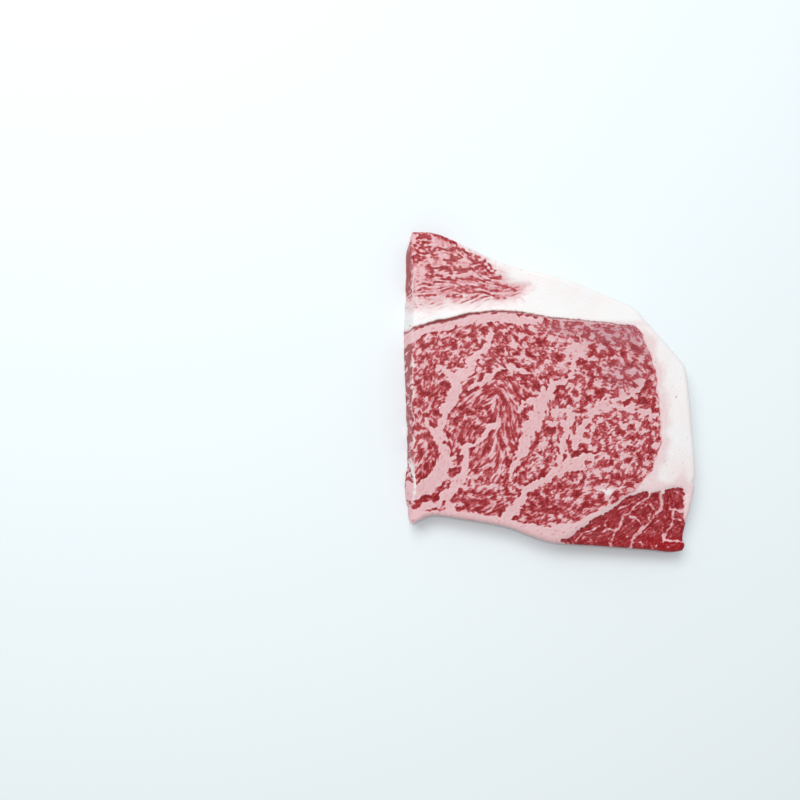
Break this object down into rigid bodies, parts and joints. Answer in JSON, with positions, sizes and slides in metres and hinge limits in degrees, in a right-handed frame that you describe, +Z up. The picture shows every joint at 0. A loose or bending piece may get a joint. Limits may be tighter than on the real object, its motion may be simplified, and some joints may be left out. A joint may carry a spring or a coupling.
{
  "type": "raw ribeye steak",
  "caption": "Half of a raw, finely marbled ribeye steak, lying flat, with one straight cut side and a thick rim of white fat.",
  "frame": {"origin": "middle of the footprint's bounding box, on the surface that the steak lies on", "axes": "+Z up through the steak's thickness; +X from the straight cut side towards the fat rim; +Y towards the cap end of the cut side"},
  "size_m": [0.1428, 0.1576, 0.0157],
  "materials": {
    "raw_beef": "moist cut meat: red lean finely marbled with pale pink fat, and white fat at the rim"
  },
  "bodies": {
    "root": {"steak": "raw_beef"}
  },
  "joints": []
}
